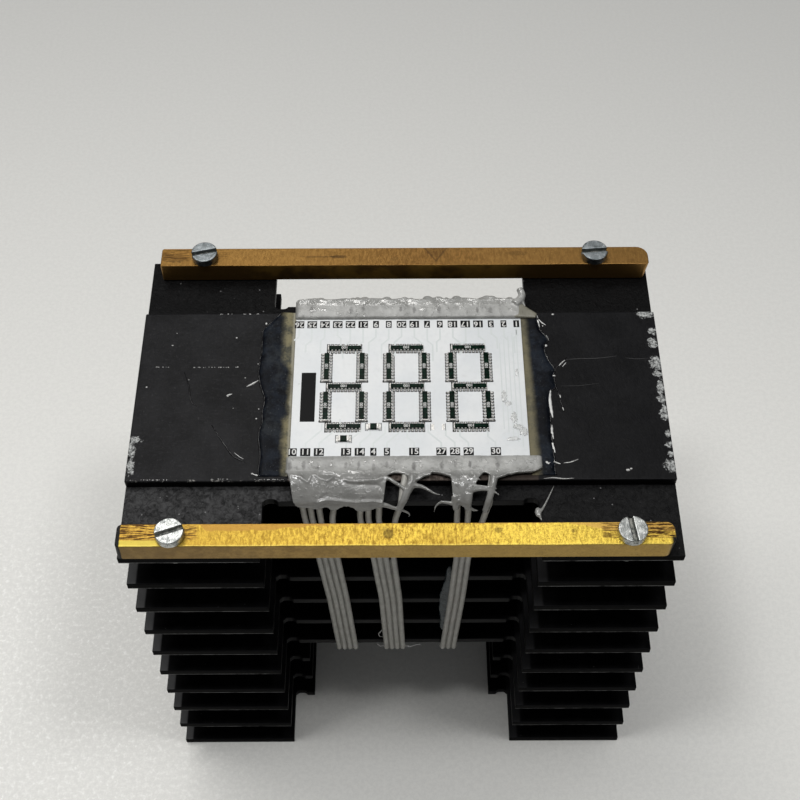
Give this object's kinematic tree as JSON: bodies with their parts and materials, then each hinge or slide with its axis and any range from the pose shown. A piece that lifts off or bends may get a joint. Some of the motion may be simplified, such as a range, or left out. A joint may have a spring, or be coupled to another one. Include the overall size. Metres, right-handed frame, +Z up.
{
  "type": "three-digit segment display on a finned heat-sink block",
  "caption": "Segment display board potted into a black slab on a double-sided finned heat-sink block, with brass clamp bars and ribbon wires.",
  "frame": {"origin": "centre of the underside of the bottom fin, on the surface the block stands on", "axes": "+Z up through the stack of fins, +X to the right of the digits as read from the front, -Y towards the front, where the ribbon wires run down"},
  "size_m": [0.1018, 0.0695, 0.0998],
  "materials": {
    "black_anodised": "satin black anodised",
    "black_slab": "satin, scuffed edges",
    "potting_resin": "gloss, stained at the board",
    "white_board": "white solder mask",
    "green_chip": "glazed dark green",
    "silicone": "translucent grey, wet gloss",
    "wire_jacket": "light grey, satin",
    "brass": "brushed, tarnished",
    "zinc_steel": "zinc plated, dull"
  },
  "bodies": {
    "root": {"digit_1_segment_a": "green_chip", "digit_1_segment_b": "green_chip", "digit_1_segment_c": "green_chip", "digit_1_segment_d": "green_chip", "digit_1_segment_e": "green_chip", "digit_1_segment_f": "green_chip", "digit_1_segment_g": "green_chip", "digit_2_segment_a": "green_chip", "digit_2_segment_b": "green_chip", "digit_2_segment_c": "green_chip", "digit_2_segment_d": "green_chip", "digit_2_segment_e": "green_chip", "digit_2_segment_f": "green_chip", "digit_2_segment_g": "green_chip", "digit_3_segment_a": "green_chip", "digit_3_segment_b": "green_chip", "digit_3_segment_c": "green_chip", "digit_3_segment_d": "green_chip", "digit_3_segment_e": "green_chip", "digit_3_segment_f": "green_chip", "digit_3_segment_g": "green_chip", "display_board": "white_board", "finned_block": "black_anodised", "front_clamp_bar": "brass", "front_left_screw": "zinc_steel", "front_right_screw": "zinc_steel", "front_silicone": "silicone", "left_ribbon": "wire_jacket", "left_tail_glue": "silicone", "lower_chip": "green_chip", "middle_ribbon": "wire_jacket", "middle_tail_glue": "silicone", "potting": "potting_resin", "rear_clamp_bar": "brass", "rear_left_screw": "zinc_steel", "rear_right_screw": "zinc_steel", "rear_silicone": "silicone", "ribbon_glue": "silicone", "right_ribbon": "wire_jacket", "right_tail_glue": "silicone", "top_slab": "black_slab", "upper_chip": "green_chip"}
  },
  "joints": []
}
